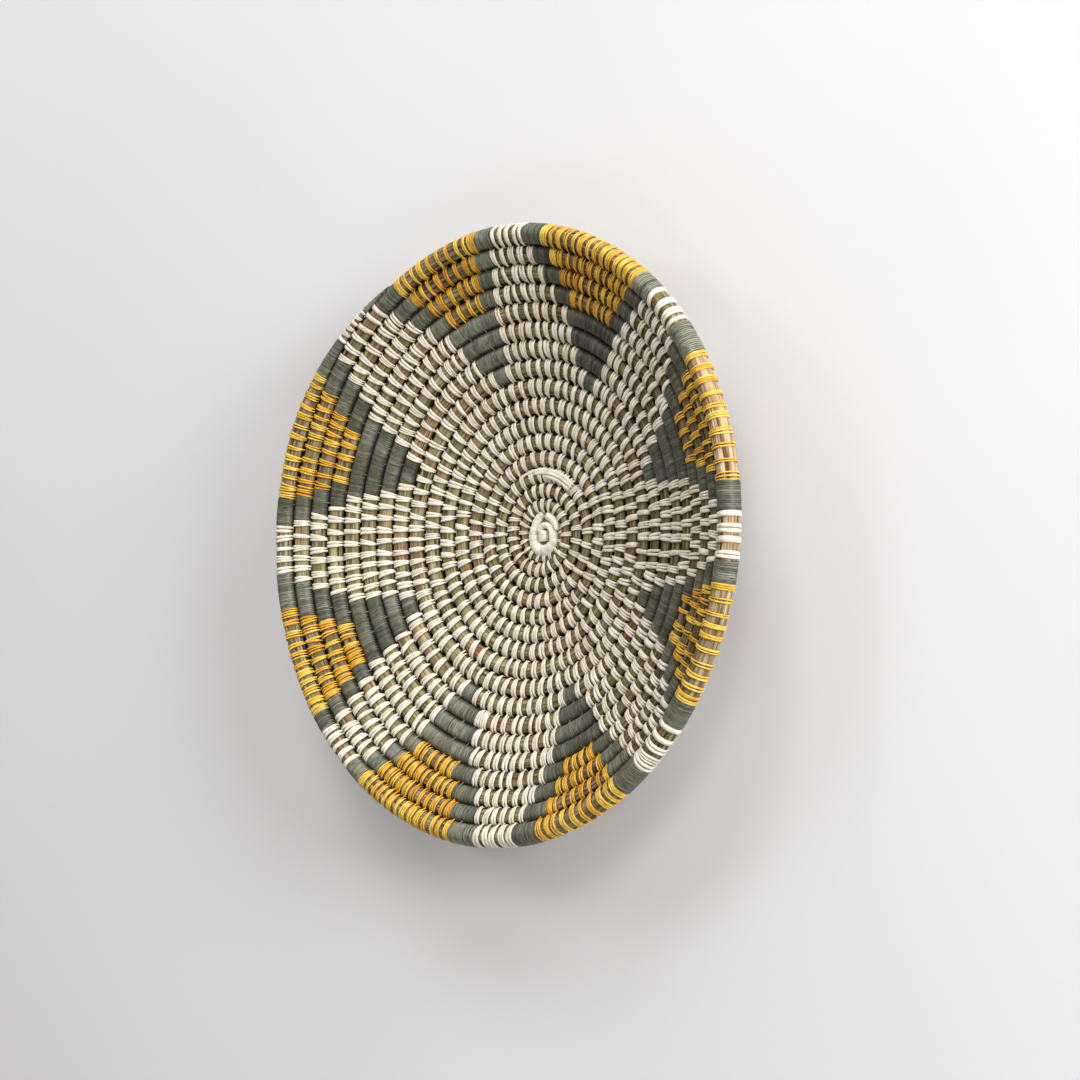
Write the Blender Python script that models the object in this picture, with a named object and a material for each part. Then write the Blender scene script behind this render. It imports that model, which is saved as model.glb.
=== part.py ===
"""Seagrass wall basket: a shallow bowl of one coiled bundle of grass, bound with strips.

The bundle starts at a small knot, runs outwards clockwise in sixteen turns and ends in a
tapered tail at the upper left. Grey and yellow strips are wound round it so that eight
petals show, and white stitches tie each row to the one before.
The bowl hangs on a wall: the wall is the plane y = 0, the bowl opens towards -Y, +Z is up,
and the origin lies on the flat back of the knot. Lengths are in metres, angles in degrees.
"""
import math

import bmesh
import bpy
import numpy as np
from mathutils import Vector

# Coil
KNOT_RADIUS = 0.01285
FIRST_ROW = 0.0093
FULL_ROW = 0.01245
GROWING_TURNS = 7.7
TURNS = 16.05
END_ANGLE = 119.0
POINTS_PER_TURN = 24

# Bowl
RIM_SLOPE = 33.1
SLOPE_POWER = 1.07
DEPTH_SHARE = 1.05
WALL_CUT_SHARE = 0.1

# Ends of the coil
START_SHARE = 0.30
TAIL_SHARE = 0.34
TAIL_BINDING_ANGLE = 7.5
TAIL_TIP_BARE = 0.0012

# Strips
STRIP_THICKNESS = 0.0004
CLEARANCE = 0.0003
ROW_GAP = 0.0003
CATCH_WIDTH = 0.0020
CATCH_HEIGHT = 0.0016
CATCH_BITE_SHARE = 0.6
COLOUR_GAP = 0.0005
STITCH_WIDTH = 0.0050
STITCH_FIRST_TURN = 3.0

# Knot
KNOT_NARROWING = 0.93
KNOT_HEIGHT = 0.0086
KNOT_GROOVE_DEPTH = 0.0011
KNOT_RING_SHARE = 0.72
KNOT_FOOT_INSET = 0.0022
KNOT_GROOVE_STEPS = 6
KNOT_SHOULDER_STEPS = 4
KNOT_SEGMENTS = 24
KNOT_SHARP_ANGLE = 50.0
WELD_DISTANCE = 0.00001

# Petals: name, first and last degree on the outer row, the same on the petal's last row,
# and the grey margins before and after the yellow
PETALS = (
    ("left_upper", 135.5, 176.0, 152.0, 160.0, 8.0, 5.5),
    ("left_lower", 186.0, 221.0, 200.0, 206.0, 7.5, 4.0),
    ("bottom_left", 231.0, 268.0, 243.0, 247.5, 4.0, 6.5),
    ("bottom_right", 278.0, 311.0, 289.0, 294.0, 6.0, 6.0),
    ("right_lower", 321.0, 351.5, 333.5, 338.0, 5.0, 4.0),
    ("right_upper", 360.0, 395.5, 373.5, 378.5, 5.0, 6.5),
    ("top_right", 404.0, 440.0, 415.5, 420.5, 4.5, 5.0),
    ("top_left", 449.0, 483.0, 458.5, 464.0, 4.5, 6.0),
)
# How far each row's first and last edge have come from the outer row's to the last row's
START_SHIFT = (0.0, 0.17, 0.33, 0.49, 0.68, 0.73, 0.82, 1.0)
END_SHIFT = (0.0, 0.09, 0.20, 0.35, 0.54, 0.63, 0.75, 1.0)
PETAL_ROWS = 8
YELLOW_ROWS = 4

RAYS = ("left", "lower_left", "bottom", "lower_right", "right", "upper_right", "top", "upper_left")

GRASS = (0.205, 0.162, 0.080)
GREY = (0.147, 0.168, 0.138)
YELLOW = (0.791, 0.376, 0.016)
WHITE = (0.87, 0.83, 0.76)

FULL_CIRCLE = 360.0
POLYGON_FACTOR = math.cos(math.pi / POINTS_PER_TURN)
PROFILE_STEPS = 2000
LEAST_STEP = 0.004


def clear_scene():
    for item in list(bpy.data.objects):
        bpy.data.objects.remove(item)


def make_material(name, colour, roughness):
    material = bpy.data.materials.new(name)
    material.use_nodes = True
    shader = material.node_tree.nodes["Principled BSDF"]
    shader.inputs["Base Color"].default_value = (*colour, 1.0)
    shader.inputs["Roughness"].default_value = roughness
    shader.inputs["Metallic"].default_value = 0.0
    return material


def row_width(turn):
    """Width of the coil at a turn: it thickens over the first turns and then stays."""
    growth = min(max(turn / GROWING_TURNS, 0.0), 1.0)
    return FIRST_ROW + (FULL_ROW - FIRST_ROW) * growth


def fullness(turn):
    """Share of the full coil at a turn: less than one in the start's and the tail's taper."""
    if turn < 0.0:
        return 1.0 + turn
    past = 1.0 - (TURNS - turn) * POINTS_PER_TURN
    return 1.0 - (1.0 - TAIL_SHARE) * max(past, 0.0)


def row_inner_edge(turn):
    """Distance of a row's inner edge from the bowl's middle, measured along the bowl."""
    grown = min(max(turn, 0.0), GROWING_TURNS)
    return (KNOT_RADIUS + (FIRST_ROW + row_width(grown)) / 2.0 * grown
            + FULL_ROW * max(turn - GROWING_TURNS, 0.0))


def row_distance(turn):
    """Distance of the coil's centre line from the bowl's middle, measured along the bowl."""
    return row_inner_edge(turn) + fullness(turn) * row_width(turn) / 2.0


RIM_DISTANCE = row_inner_edge(TURNS) + FULL_ROW / 2.0
START_TURN = START_SHARE - 1.0


def slope(distance):
    """Slope of the bowl at a distance from its middle, in radians."""
    return math.radians(RIM_SLOPE) * (distance / RIM_DISTANCE) ** SLOPE_POWER


def bowl_profile():
    """Distances along the bowl with the radius and the height that each one reaches."""
    distances = np.linspace(0.0, RIM_DISTANCE + FULL_ROW, PROFILE_STEPS)
    slopes = slope((distances[1:] + distances[:-1]) / 2.0)
    steps = np.diff(distances)
    radii = np.concatenate([[0.0], np.cumsum(np.cos(slopes) * steps)])
    heights = np.concatenate([[0.0], np.cumsum(np.sin(slopes) * steps)])
    return distances, radii, heights


PROFILE = bowl_profile()


def core_half_width(turn):
    """Half the bundle's width, less than half a row by the strip, the clearance and the gap."""
    row = fullness(turn) * row_width(turn) * POLYGON_FACTOR
    return (row - ROW_GAP) / 2.0 - STRIP_THICKNESS - CLEARANCE


def back_reach(turn):
    """How far the bundle reaches behind the bowl's middle plane at a turn."""
    distance = row_distance(turn)
    height = float(np.interp(distance, PROFILE[0], PROFILE[2]))
    return core_half_width(turn) * DEPTH_SHARE * math.cos(slope(distance)) - height


def coil_stations():
    """The turns at which the bundle has its corners, in line from row to row."""
    step = 1.0 / POINTS_PER_TURN
    count = math.ceil((TURNS - START_TURN) / step)
    turns = [TURNS - index * step for index in range(count)]
    if turns[-1] - START_TURN < LEAST_STEP * step:
        turns.pop()
    return [START_TURN, *reversed(turns)]


STATIONS = coil_stations()
REACH = max(back_reach(turn) for turn in STATIONS)
WALL_CUT = WALL_CUT_SHARE * 2.0 * DEPTH_SHARE * core_half_width(0.0)
MIDDLE_HEIGHT = REACH - WALL_CUT


def centre_point(turn):
    """A point of the coil's centre line, in front of the wall."""
    distance = row_distance(turn)
    radius = float(np.interp(distance, PROFILE[0], PROFILE[1]))
    height = float(np.interp(distance, PROFILE[0], PROFILE[2]))
    angle = math.radians(END_ANGLE + FULL_CIRCLE * (TURNS - turn))
    return Vector((radius * math.cos(angle), -MIDDLE_HEIGHT - height, radius * math.sin(angle)))


def station_frame(turn):
    """Directions across the coil at a corner: outwards along the bowl, and to its front."""
    step = 0.5 / POINTS_PER_TURN
    along = (centre_point(min(turn + step, TURNS)) - centre_point(turn - step)).normalized()
    angle = math.radians(END_ANGLE + FULL_CIRCLE * (TURNS - turn))
    tilt = slope(row_distance(turn))
    outward = Vector((math.cos(tilt) * math.cos(angle), -math.sin(tilt), math.cos(tilt) * math.sin(angle)))
    outward = (outward - outward.dot(along) * along).normalized()
    front = along.cross(outward).normalized()
    if front.y > 0.0:
        front = -front
    return outward, front


CENTRES = [centre_point(turn) for turn in STATIONS]
FRAMES = [station_frame(turn) for turn in STATIONS]


def corner_ring(index, extra):
    """The six corners round the coil at a station, a given distance outside the bundle."""
    half = core_half_width(STATIONS[index]) + extra
    depth = half * DEPTH_SHARE
    width = half / POLYGON_FACTOR
    outward, front = FRAMES[index]
    places = ((1.0, 0.5), (0.0, 1.0), (-1.0, 0.5), (-1.0, -0.5), (0.0, -1.0), (1.0, -0.5))
    return [CENTRES[index] + outward * width * u + front * depth * v for u, v in places]


def between_stations(turn):
    """The station before a turn, and how far the turn lies from it to the next."""
    index = int(np.searchsorted(STATIONS, turn, side="right")) - 1
    index = min(max(index, 0), len(STATIONS) - 2)
    share = (turn - STATIONS[index]) / (STATIONS[index + 1] - STATIONS[index])
    return index, share


def ring_at(turn, extra):
    """Corners round the coil at any turn, on the straight stretch between two stations."""
    index, share = between_stations(turn)
    first = corner_ring(index, extra)
    second = corner_ring(index + 1, extra)
    return [a.lerp(b, share) for a, b in zip(first, second)]


def centre_at(turn):
    index, share = between_stations(turn)
    return CENTRES[index].lerp(CENTRES[index + 1], share)


def turn_at(row, degrees):
    """The turn of a row, counted inwards from the coil's end, at an angle on the bowl."""
    return TURNS - (row + (degrees - END_ANGLE) / FULL_CIRCLE)


def turn_share(turn, length):
    """The share of a turn that a length along the coil takes there."""
    centre = centre_at(turn)
    return length / (2.0 * math.pi * math.hypot(centre.x, centre.z))


def bridge(mesh, first, second):
    for index, corner in enumerate(first):
        after = (index + 1) % len(first)
        mesh.faces.new((corner, first[after], second[after], second[index]))


def add_tube(mesh, rings):
    """A solid tube through rings of corners, closed at both ends."""
    loops = [[mesh.verts.new(corner) for corner in ring] for ring in rings]
    for first, second in zip(loops[:-1], loops[1:]):
        bridge(mesh, first, second)
    mesh.faces.new(loops[0])
    mesh.faces.new(loops[-1])


def add_sleeve(mesh, start, end):
    """A strip wound closely round the coil from one turn to another: a tube with a bore."""
    least = LEAST_STEP / POINTS_PER_TURN
    inside = [turn for turn in STATIONS if start + least < turn < end - least]
    turns = [start, *inside, end]
    inner = CLEARANCE
    outer = CLEARANCE + STRIP_THICKNESS
    outer_loops = [[mesh.verts.new(corner) for corner in ring_at(turn, outer)] for turn in turns]
    inner_loops = [[mesh.verts.new(corner) for corner in ring_at(turn, inner)] for turn in turns]
    for loops in (outer_loops, inner_loops):
        for first, second in zip(loops[:-1], loops[1:]):
            bridge(mesh, first, second)
    bridge(mesh, outer_loops[0], inner_loops[0])
    bridge(mesh, outer_loops[-1], inner_loops[-1])


def add_catch(mesh, turn):
    """The strip's stitch into the row before: it joins two wrapped rows at one place."""
    outer_centre = centre_at(turn)
    inner_centre = centre_at(turn - 1.0)
    across = (outer_centre - inner_centre).normalized()
    step = turn_share(turn, CATCH_WIDTH)
    ahead = (centre_at(turn + step) - centre_at(turn - step)).normalized()
    ahead = (ahead - ahead.dot(across) * across).normalized()
    front = ahead.cross(across)
    cover = CLEARANCE + STRIP_THICKNESS * (1.0 - CATCH_BITE_SHARE)
    low = inner_centre + across * (core_half_width(turn - 1.0) + cover)
    high = outer_centre - across * (core_half_width(turn) + cover)
    side = ahead * (CATCH_WIDTH / 2.0)
    rise = front * (CATCH_HEIGHT / 2.0)
    add_tube(mesh, [[end + side + rise, end - side + rise, end - side - rise, end + side - rise]
                    for end in (low, high)])


def new_object(name, mesh, material=None):
    bmesh.ops.recalc_face_normals(mesh, faces=mesh.faces)
    bmesh.ops.triangulate(mesh, faces=mesh.faces, quad_method="FIXED")
    data = bpy.data.meshes.new(name)
    mesh.to_mesh(data)
    mesh.free()
    if material:
        data.materials.append(material)
    item = bpy.data.objects.new(name, data)
    bpy.context.collection.objects.link(item)
    return item


def add_boolean(target, helper, operation):
    """Joins a helper to an object or cuts it away; the helper itself is only a guide."""
    helper.hide_render = True
    helper.display_type = "WIRE"
    modifier = target.modifiers.new(helper.name, "BOOLEAN")
    modifier.operation = operation
    modifier.solver = "MANIFOLD"
    modifier.object = helper


def joined_wraps(name, spans, catches, material):
    """Strips wound over several rows, made one body by their stitches between the rows."""
    wraps = bmesh.new()
    for start, end in spans:
        add_sleeve(wraps, start, end)
    item = new_object(name, wraps, material)
    if catches:
        stitches = bmesh.new()
        for turn in catches:
            add_catch(stitches, turn)
        add_boolean(item, new_object(name + "_catches", stitches), "UNION")
    return item


def petal_edges(petal, row):
    """First and last degree of a petal on a row, and those of its yellow middle."""
    _, start, end, last_start, last_end, before, after = petal
    first = start + (last_start - start) * START_SHIFT[row]
    last = end + (last_end - end) * END_SHIFT[row]
    return first, last, first + before, last - after


def catch_turn(row, low, high):
    """The turn of a stitch between two degrees, nearest to the middle of a straight stretch."""
    reach = turn_share(turn_at(row, low), CATCH_WIDTH) * FULL_CIRCLE / 2.0
    middle = (low + high) / 2.0
    if high - low > 2.0 * reach:
        stretch = FULL_CIRCLE / POINTS_PER_TURN
        count = round((middle - END_ANGLE) / stretch - 0.5)
        middle = END_ANGLE + (count + 0.5) * stretch
        middle = min(max(middle, low + reach), high - reach)
    return turn_at(row, middle)


def add_petal(petal, grey, yellow):
    """One petal: grey on eight rows, with a yellow middle on the outer four."""
    grey_spans = []
    grey_catches = []
    yellow_spans = []
    yellow_catches = []
    for row in range(PETAL_ROWS):
        first, last, yellow_first, yellow_last = petal_edges(petal, row)
        has_yellow = row < YELLOW_ROWS
        parts = ((first, yellow_first), (yellow_last, last)) if has_yellow else ((first, last),)
        grey_spans += [(turn_at(row, high), turn_at(row, low)) for low, high in parts]
        if has_yellow:
            gap = turn_share(turn_at(row, yellow_first), COLOUR_GAP)
            yellow_spans.append((turn_at(row, yellow_last) + gap, turn_at(row, yellow_first) - gap))
        if row + 1 < PETAL_ROWS:
            below = petal_edges(petal, row + 1)
            shared = ((below[0], yellow_first), (yellow_last, below[1])) if has_yellow else (below[:2],)
            grey_catches += [catch_turn(row, low, high) for low, high in shared]
        if row + 1 < YELLOW_ROWS:
            yellow_catches.append(catch_turn(row, below[2], below[3]))
    joined_wraps("grey_wraps_" + petal[0], grey_spans, grey_catches, grey)
    joined_wraps("yellow_wraps_" + petal[0], yellow_spans, yellow_catches, yellow)


def ray_angle(index):
    """The middle of the white ray that follows a petal."""
    following = PETALS[(index + 1) % len(PETALS)][1]
    if index + 1 == len(PETALS):
        following += FULL_CIRCLE
    return (PETALS[index][2] + following) / 2.0


def add_white_stitches(index, white):
    """The white stitches of one ray, from below the petals' points to the flat middle."""
    angle = ray_angle(index) % FULL_CIRCLE
    if angle < END_ANGLE:
        angle += FULL_CIRCLE
    turns = []
    row = PETAL_ROWS
    while turn_at(row, angle) >= STITCH_FIRST_TURN:
        turns.append(turn_at(row, angle))
        row += 1
    spans = []
    for turn in turns:
        half = turn_share(turn, STITCH_WIDTH) / 2.0
        spans.append((turn - half, turn + half))
    joined_wraps("white_stitches_" + RAYS[index], spans, turns[:-1], white)


def add_core(grass):
    """The bundle of grass, one unbroken tube, pressed flat where it lies on the wall."""
    mesh = bmesh.new()
    add_tube(mesh, [corner_ring(index, 0.0) for index in range(len(STATIONS))])
    core = new_object("seagrass_core", mesh, grass)
    wall = bmesh.new()
    bmesh.ops.create_cube(wall, size=1.0)
    bmesh.ops.scale(wall, vec=(4.0 * RIM_DISTANCE, RIM_DISTANCE, 4.0 * RIM_DISTANCE), verts=wall.verts)
    bmesh.ops.translate(wall, vec=(0.0, RIM_DISTANCE / 2.0, 0.0), verts=wall.verts)
    add_boolean(core, new_object("wall_cutter", wall), "DIFFERENCE")


def add_tail_binding(grey):
    """The grey strip that binds the thin end of the coil."""
    end = TURNS - turn_share(TURNS, TAIL_TIP_BARE)
    start = turn_at(0, END_ANGLE + TAIL_BINDING_ANGLE)
    joined_wraps("tail_binding", [(start, end)], [], grey)


def knot_outline():
    """Radii and heights of the knot, from the middle of its front to the middle of its back."""
    coil_inner_face = KNOT_RADIUS * POLYGON_FACTOR + ROW_GAP / 2.0 + STRIP_THICKNESS + CLEARANCE
    radius = coil_inner_face - CLEARANCE
    ring = radius * KNOT_RING_SHARE
    outline = []
    for step in range(KNOT_GROOVE_STEPS):
        share = step / KNOT_GROOVE_STEPS
        groove = (1.0 - math.cos(2.0 * math.pi * share)) / 2.0
        outline.append((ring * share, KNOT_HEIGHT - KNOT_GROOVE_DEPTH * groove))
    for step in range(KNOT_SHOULDER_STEPS + 1):
        angle = step / KNOT_SHOULDER_STEPS * math.pi / 2.0
        rise = (KNOT_HEIGHT - MIDDLE_HEIGHT) * math.cos(angle)
        outline.append((ring + (radius - ring) * math.sin(angle), MIDDLE_HEIGHT + rise))
    outline.append((radius - KNOT_FOOT_INSET, 0.0))
    outline.append((0.0, 0.0))
    return outline


def add_knot(white):
    """The oval start of the coil: a ring of wraps round a small button, with a flat back."""
    mesh = bmesh.new()
    verts = [mesh.verts.new((radius, -height, 0.0)) for radius, height in knot_outline()]
    edges = [mesh.edges.new(pair) for pair in zip(verts[:-1], verts[1:])]
    bmesh.ops.spin(mesh, geom=verts + edges, axis=(0.0, 1.0, 0.0), cent=(0.0, 0.0, 0.0),
                   angle=math.radians(FULL_CIRCLE), steps=KNOT_SEGMENTS)
    bmesh.ops.remove_doubles(mesh, verts=mesh.verts, dist=WELD_DISTANCE)
    bmesh.ops.scale(mesh, vec=(KNOT_NARROWING, 1.0, 1.0), verts=mesh.verts)
    knot = new_object("centre_knot", mesh, white)
    knot.data.shade_smooth()
    knot.data.set_sharp_from_angle(angle=math.radians(KNOT_SHARP_ANGLE))


def least_row_gap():
    """The least gap of the bundle to its own next row, measured at its stations."""
    gaps = []
    for turn in STATIONS:
        if turn + 1.0 <= TURNS:
            apart = (centre_at(turn + 1.0) - centre_at(turn)).length * POLYGON_FACTOR
            gaps.append(apart - core_half_width(turn) - core_half_width(turn + 1.0))
    return min(gaps)


def build():
    clear_scene()
    grass = make_material("dry_seagrass", GRASS, 0.75)
    grey = make_material("grey_strip", GREY, 0.65)
    yellow = make_material("yellow_strip", YELLOW, 0.5)
    white = make_material("white_strip", WHITE, 0.6)
    add_core(grass)
    add_knot(white)
    for petal in PETALS:
        add_petal(petal, grey, yellow)
    for index in range(len(RAYS)):
        add_white_stitches(index, white)
    add_tail_binding(grey)
    print(f"least gap between rows of the bundle: {least_row_gap() * 1000.0:.2f} mm")


build()
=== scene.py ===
"""Looks of the seagrass wall basket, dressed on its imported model.

One bundle of grass runs from the knot to the tail. Strips of three colours are wound round it
and stitched into the row before, and each strand of a strip is its own closed winding.
The wall is the plane y = 0, the bowl opens towards -Y and +Z is up. Lengths are in metres.
"""
import math
import bmesh
import bpy
import numpy as np
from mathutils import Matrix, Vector


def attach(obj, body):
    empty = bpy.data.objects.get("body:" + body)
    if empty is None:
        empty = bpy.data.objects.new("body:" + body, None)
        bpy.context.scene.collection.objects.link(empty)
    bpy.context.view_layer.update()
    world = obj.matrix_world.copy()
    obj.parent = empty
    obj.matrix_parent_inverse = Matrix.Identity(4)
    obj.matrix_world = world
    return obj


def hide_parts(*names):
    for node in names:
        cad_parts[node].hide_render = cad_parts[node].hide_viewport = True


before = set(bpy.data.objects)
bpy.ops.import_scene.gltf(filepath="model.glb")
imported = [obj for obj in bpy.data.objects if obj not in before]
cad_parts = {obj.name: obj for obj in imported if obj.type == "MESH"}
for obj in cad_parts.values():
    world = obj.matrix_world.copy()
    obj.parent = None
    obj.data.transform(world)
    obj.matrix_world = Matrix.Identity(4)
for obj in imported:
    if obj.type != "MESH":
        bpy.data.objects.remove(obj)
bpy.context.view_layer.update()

# The coil's route, as in the part
KNOT_RADIUS = 0.01285
FIRST_ROW = 0.0093
FULL_ROW = 0.01245
GROWING_TURNS = 7.7
TURNS = 16.05
END_ANGLE = 119.0
RIM_SLOPE = 33.1
SLOPE_POWER = 1.07
MIDDLE_HEIGHT = 0.0028
START_SHARE = 0.30
TAIL_SHARE = 0.08
TAIL_DEGREES = 38.0
TAIL_POWER = 1.3
TAIL_BINDING_ANGLE = 7.5
PROFILE_STEPS = 2000

# The bundle of grass: its section, its blades, and the steps along it near the knot and at the rim
ROW_SPARE = 0.00018
DEPTH_SHARE = 1.03
SQUARENESS = 0.82
BLADES = 21
BLADE_DRIFT = 2.6
BLADE_DEPTH = 0.036
BLADE_WANDER = 0.00045
GRASS_SINK = 0.00045
FINE_STEP = 0.0028
COARSE_STEP = 0.0050

# White stitches: width, and distance between two on most rows, near the knot, on the rim, in its
# tail and on the stretch where they stand close
WHITE_WIDTH = 0.0051
WHITE_PITCH = 0.0080
WHITE_PITCH_INSIDE = 0.0056
INSIDE_TURNS = 1.8
WHITE_PITCH_RIM = 0.0067
TAIL_PITCH_SHARE = 0.35
CLOSE_STRETCH = (2.13, 2.28)
CLOSE_PITCH = 0.0049
# Size at the knot and growth with each turn
WHITE_START_SIZE = 0.64
WHITE_GROWTH = 0.09
# Chances of one, two or three strands, and the spread of their widths, leans and shades
STRAND_CHANCES = (0.12, 0.58, 0.30)
STRAND_CHANCES_RIM = (0.45, 0.45, 0.10)
LEAST_SHARE = 1.3
WHITE_WIDTHS = (0.88, 1.14)
STRAND_WIDTHS = (0.92, 1.08)
OUTER_SPACING = 1.06
WHITE_LEAN = (0.0003, 0.0006)
MEETING = (0.25, 0.80)
WHITE_SHADES = (0.2, 0.8)
WHITE_TINTS = (-0.2, 0.2)
WHITE_LIFTS = (-0.00005, 0.00015)
WHITE_LONG_TIPS = (0.4, 1.15)
WHITE_SHORT_TIPS = (0.0, 0.35)

# Yellow stitches: width of a strand and distance between two stitches in each petal
YELLOW_STRANDS = (0.00170, 0.00185, 0.00170, 0.00160, 0.00150, 0.00145, 0.00145, 0.00170)
YELLOW_PITCHES = (0.0075, 0.0073, 0.0063, 0.0075, 0.0077, 0.0079, 0.0063, 0.0081)
YELLOW_SPACING = 0.94
YELLOW_SPACINGS = (0.8, 1.25)
YELLOW_WIDTHS = (0.72, 1.18)
YELLOW_LEAN = 0.00036
YELLOW_MEETING = (0.6, 1.0)
YELLOW_SHADES = (-0.22, 0.22)
YELLOW_TINTS = (-0.24, 0.24)
YELLOW_LIFTS = (-0.00012, 0.00020)
YELLOW_TIPS = 0.75
YELLOW_LONG_TIPS = (0.6, 1.2)
YELLOW_SHORT_TIPS = (0.0, 0.25)

# Grey winding: width and lap of a strand, share of sunk strands and how many lie between two tips
GREY_PITCH = 0.00130
GREY_LAP = 1.25
GREY_LEAN = 0.0003
GREY_SHADES = (-0.12, 0.12)
GREY_DRIFTS = (-0.09, 0.09)
GREY_DRIFT_BACK = 0.1
GREY_TINTS = (-0.18, 0.18)
GREY_LIFTS = (-0.00006, 0.00006)
GREY_SUNK = 0.04
SUNK_LIFT = -0.00012
# A sunk strand lies lower, and its darker tint is painted shade in the dip
SUNK_SHADE_TINT = 0.25
GREY_TIP_EVERY = 19
GREY_TIPS = (0.8, 1.15)

# Places of stitches: room for one more, when the rest is spaced evenly, when the last fills the
# end, how far a stitch of the row before is looked for and how much it draws, and the unevenness
ROOM_FOR_MORE = 0.5
EVEN_STEPS = 8.0
LAST_ROOM = 0.4
IN_LINE_REACH = 0.34
IN_LINE_PULL = 0.55
UNEVENNESS = (-0.13, 0.13)
FIRST_STITCH = 0.05
LEAST_RAY = 0.3
ROW_BEFORE = 1.2
LAST_STITCHES = 200

# A strand: how far its tip reaches into the row before, and its section
TIP = 0.0022
TIP_INSIDE = 0.4
TIP_NARROWING = 0.6
TIP_TURNS = 9.0
TIP_SPREAD = 0.42
STRAND_THICKNESS = 0.00115
STRAND_TOP = 0.72
WINDING_POINTS = 15
TIP_ANGLE = math.tau * 6 / WINDING_POINTS
# Bend, in radians, above which a strand's edge is sharp: a grey one's, and any other's
GREY_SHARP_ABOVE = 0.8
NEVER_SHARP = 3.2
# Depth in which the back is pressed flat before the wall
WALL_SOFTNESS = 0.0005
SEED = 7

# Petals, as in the part: name, first and last degree on the outer row and on the last row,
# and the grey margins before and after the yellow
PETALS = (
    ("left_upper", 135.5, 176.0, 152.0, 160.0, 8.0, 5.5),
    ("left_lower", 186.0, 221.0, 200.0, 206.0, 7.5, 4.0),
    ("bottom_left", 231.0, 268.0, 243.0, 247.5, 4.0, 6.5),
    ("bottom_right", 278.0, 311.0, 289.0, 294.0, 6.0, 6.0),
    ("right_lower", 321.0, 351.5, 333.5, 338.0, 5.0, 4.0),
    ("right_upper", 360.0, 395.5, 373.5, 378.5, 5.0, 6.5),
    ("top_right", 404.0, 440.0, 415.5, 420.5, 4.5, 5.0),
    ("top_left", 449.0, 483.0, 458.5, 464.0, 4.5, 6.0),
)
RIGHT_LOWER, RIGHT_UPPER = PETALS[4], PETALS[5]
# Share of the way from a petal's first degree to its last row's, row by row, and the same at its end
START_SHIFT = (0.0, 0.17, 0.33, 0.49, 0.68, 0.73, 0.82, 1.0)
END_SHIFT = (0.0, 0.09, 0.20, 0.35, 0.54, 0.63, 0.75, 1.0)
YELLOW_ROWS = 4
RAYS = ("left", "lower_left", "bottom", "lower_right", "right", "upper_right", "top", "upper_left")

# How pale the grey and the yellow of each petal are, from 0 to 1, and how much paler they are on
# the rim. The grey's paleness there is a painted sheen, strong beside the upper right ray, and hardly so
# elsewhere.
SHADES = {
    "left_upper": (0.47, 0.54), "left_lower": (0.43, 0.56), "bottom_left": (0.60, 0.60),
    "bottom_right": (0.48, 0.52), "right_lower": (0.36, 0.50), "right_upper": (0.29, 0.52),
    "top_right": (0.26, 0.46), "top_left": (0.60, 0.46), "tail": (0.58, 0.50),
}
RIM_SHEEN_GREY = (0.55, 0.12)
RIM_SHEEN_ANGLE = 41.0
RIM_SHEEN_REACH = 12.0
RIM_PALER_YELLOW = 0.25

# Share of straw colour in the grass: under the yellow of the inner rows, in the right ray of the
# rim, and under the yellow of the rim, where it is least far from the palest place
STRAW_INSIDE = 0.20
STRAW_IN_RAY = 0.60
STRAW_LEAST = 0.20
PALEST_SHARE = 1.05
PALEST_ANGLE = 15.0
PALEST_REACH = 60.0

# Painted light and shade on the grass: its tone at the bowl's right, darkened as painted shade, and
# at its left, lightened as painted light. Under the yellow it never gets more of the painted light than
# this share.
PAINTED_LIGHT_IN_MIDDLE = 0.72
PAINTED_LIGHT_ACROSS = 0.9
PAINTED_LIGHT_UNDER_YELLOW = 0.50
PAINTED_SHADE_TONE = (0.66, 0.64, 0.62)
PAINTED_LIGHT_TONE = (1.16, 1.16, 1.14)

# Colours. Painted shade darkens a groove between rows from its start to its end, and by half at a share of
# the way.
FULL = (1.0, 1.0, 1.0)
NONE = (0.0, 0.0, 0.0)
GROOVE_HALF = 0.65
GROOVE_END = 0.955
# More painted shade: at a strand's lower edge, on the grass's outer flank, in the grass's grooves and
# between its blades
EDGE_SHADE = 1.45
GRASS_OUTER_SHADE = 1.13
GRASS_GROOVE_START = 0.74
GRASS_GROOVE_SHADE = (0.05, 0.035, 0.018)
BLADE_EDGE_SHADE = (0.40, 0.36, 0.31)
# The grass's own reddish patches, and the uneven dye of the strips
REDDISH = (1.0, 0.62, 0.45)
WORN = (0.80, 0.80, 0.80)
# How fast the noises change along a strand or the bundle's length, and aside
FIBRE_STREAKS = (2100.0, 260.0, 90.0)
DYE_CLOUDS = 190.0
WANDER_STREAKS = (45.0, 520.0, 520.0)
DRIFT_STREAKS = (11.0, 190.0, 190.0)
BLADE_STREAKS = (34.0, 1500.0, 1500.0)
BROAD_STREAKS = (24.0, 640.0, 640.0)
PATCH_STREAKS = (75.0, 70.0, 70.0)
OWN_TONE_STREAK = 26.0
OWN_TONE_JUMP = 7.3
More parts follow.
